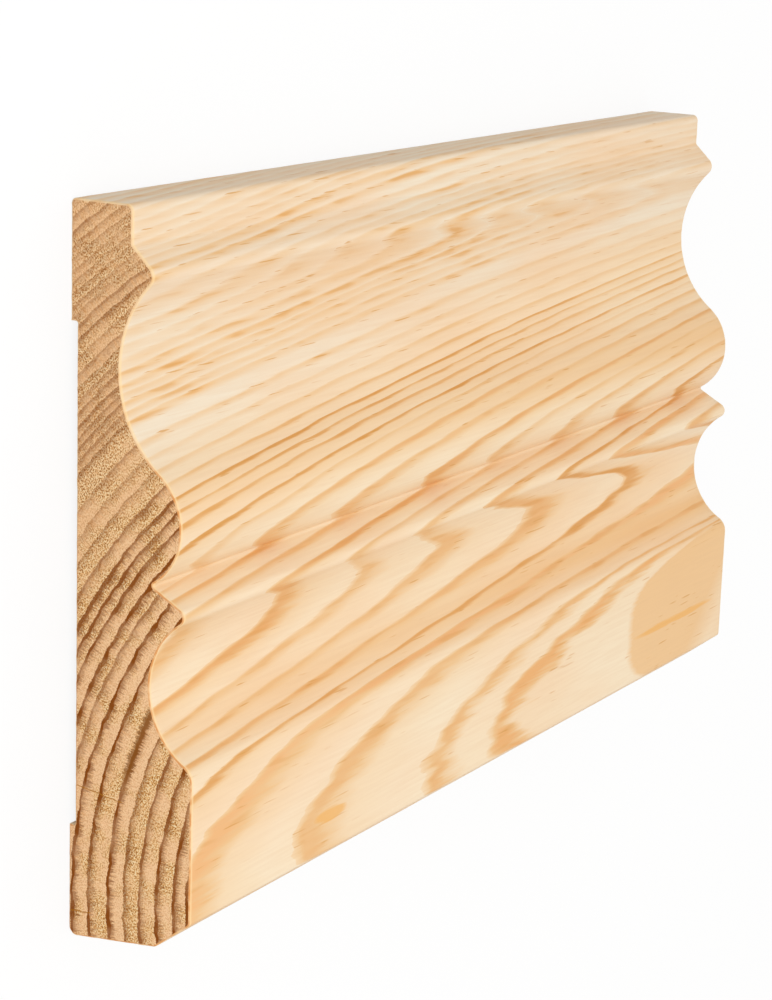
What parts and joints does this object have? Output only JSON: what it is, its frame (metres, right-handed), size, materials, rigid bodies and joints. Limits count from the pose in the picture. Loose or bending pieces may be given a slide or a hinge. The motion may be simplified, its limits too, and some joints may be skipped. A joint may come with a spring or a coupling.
{
  "type": "door lining board",
  "caption": "Moulded pine lining board for a door opening, with round hollows, a bead, a quirk and a chamfered thick edge.",
  "frame": {"origin": "middle of the back of the board, on the plane that its two back ribs rest on", "axes": "+X along the board, +Y across it towards the thin edge, +Z out of the moulded face"},
  "size_m": [0.2, 0.12, 0.024],
  "materials": {
    "pine": "planed and sanded, unfinished"
  },
  "bodies": {
    "root": {"lining_board": "pine"}
  },
  "joints": []
}
